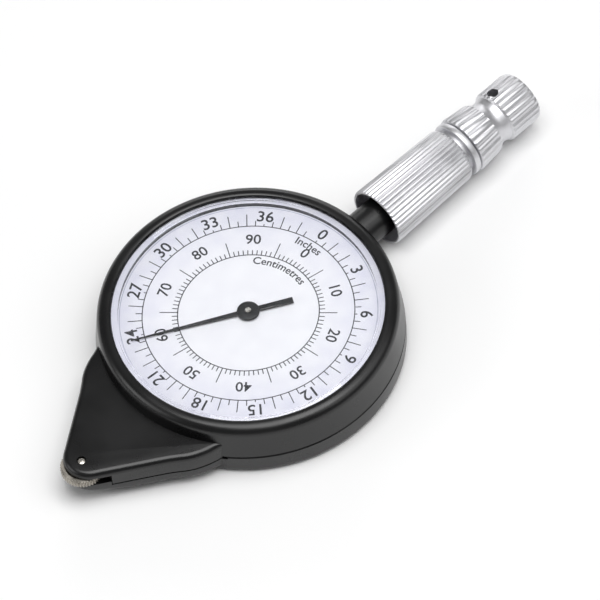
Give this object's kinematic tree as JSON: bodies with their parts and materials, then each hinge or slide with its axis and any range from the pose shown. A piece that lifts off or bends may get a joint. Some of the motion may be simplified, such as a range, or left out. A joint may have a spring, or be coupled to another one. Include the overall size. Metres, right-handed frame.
{
  "type": "map measuring wheel",
  "caption": "Hand-held map measurer: a toothed wheel at the nose turns a pointer over a round double-scale dial, with a ribbed metal handle.",
  "frame": {"origin": "centre of the round case, on its flat back", "axes": "+X from the dial's centre along the handle, -X to the measuring wheel; +Z out of the dial, along the wheel's, gears' and pointer's axes"},
  "size_m": [0.0931, 0.045, 0.0095],
  "materials": {
    "black_abs": "moulded, satin gloss",
    "clear_acrylic": "polished, clear",
    "white_card": "matt, printed in black",
    "black_lacquer": "satin black lacquer",
    "bare_aluminium": "turned and ribbed, bright",
    "nickel_plated_steel": "nickel plated",
    "brass": "sheet and turned, plain",
    "white_acetal": "moulded, satin"
  },
  "bodies": {
    "case": {"upper_case": "black_abs", "lower_case": "black_abs", "crystal": "clear_acrylic", "dial": "white_card", "bearing_plate": "brass", "centre_bush": "brass", "plate_screw_1": "nickel_plated_steel", "plate_screw_2": "nickel_plated_steel", "plate_screw_3": "nickel_plated_steel", "case_screw_1": "nickel_plated_steel", "case_screw_2": "nickel_plated_steel", "case_screw_3": "nickel_plated_steel", "case_screw_4": "nickel_plated_steel", "wheel_pin": "nickel_plated_steel", "first_arbor": "nickel_plated_steel", "second_arbor": "nickel_plated_steel", "stem": "black_abs", "stem_screw": "nickel_plated_steel", "handle_plug": "black_abs", "handle_barrel": "bare_aluminium", "swivel_ring": "bare_aluminium"},
    "wheel": {"measuring_wheel": "nickel_plated_steel", "wheel_pinion": "white_acetal"},
    "first_gear": {"first_gear": "white_acetal"},
    "second_gear": {"second_gear": "white_acetal"},
    "pointer": {"centre_gear": "white_acetal", "centre_arbor": "nickel_plated_steel", "pointer": "black_lacquer"},
    "end_cap": {"end_cap": "bare_aluminium", "swivel_screw": "nickel_plated_steel"}
  },
  "joints": [
    {"name": "wheel_spin", "type": "hinge", "parent": "case", "child": "wheel", "pos_m": [-0.0337, 0, 0.0047], "axis": [0, 0, 1], "continuous": true},
    {"name": "first_gear_spin", "type": "hinge", "parent": "case", "child": "first_gear", "pos_m": [-0.0287, 0, 0.003], "axis": [0, 0, 1], "continuous": true},
    {"name": "second_gear_spin", "type": "hinge", "parent": "case", "child": "second_gear", "pos_m": [-0.0182, 0, 0.003], "axis": [0, 0, 1], "continuous": true},
    {"name": "pointer_spin", "type": "hinge", "parent": "case", "child": "pointer", "pos_m": [0, 0, 0.0035], "axis": [0, 0, 1], "continuous": true},
    {"name": "cap_swivel", "type": "hinge", "parent": "case", "child": "end_cap", "pos_m": [0.0434, 0, 0.0048], "axis": [1, 0, 0], "continuous": true}
  ],
  "couplings": [
    {"joint": "first_gear_spin", "follows": "wheel_spin", "ratio": -0.33333},
    {"joint": "second_gear_spin", "follows": "wheel_spin", "ratio": 0.066667},
    {"joint": "pointer_spin", "follows": "wheel_spin", "ratio": -0.02}
  ]
}
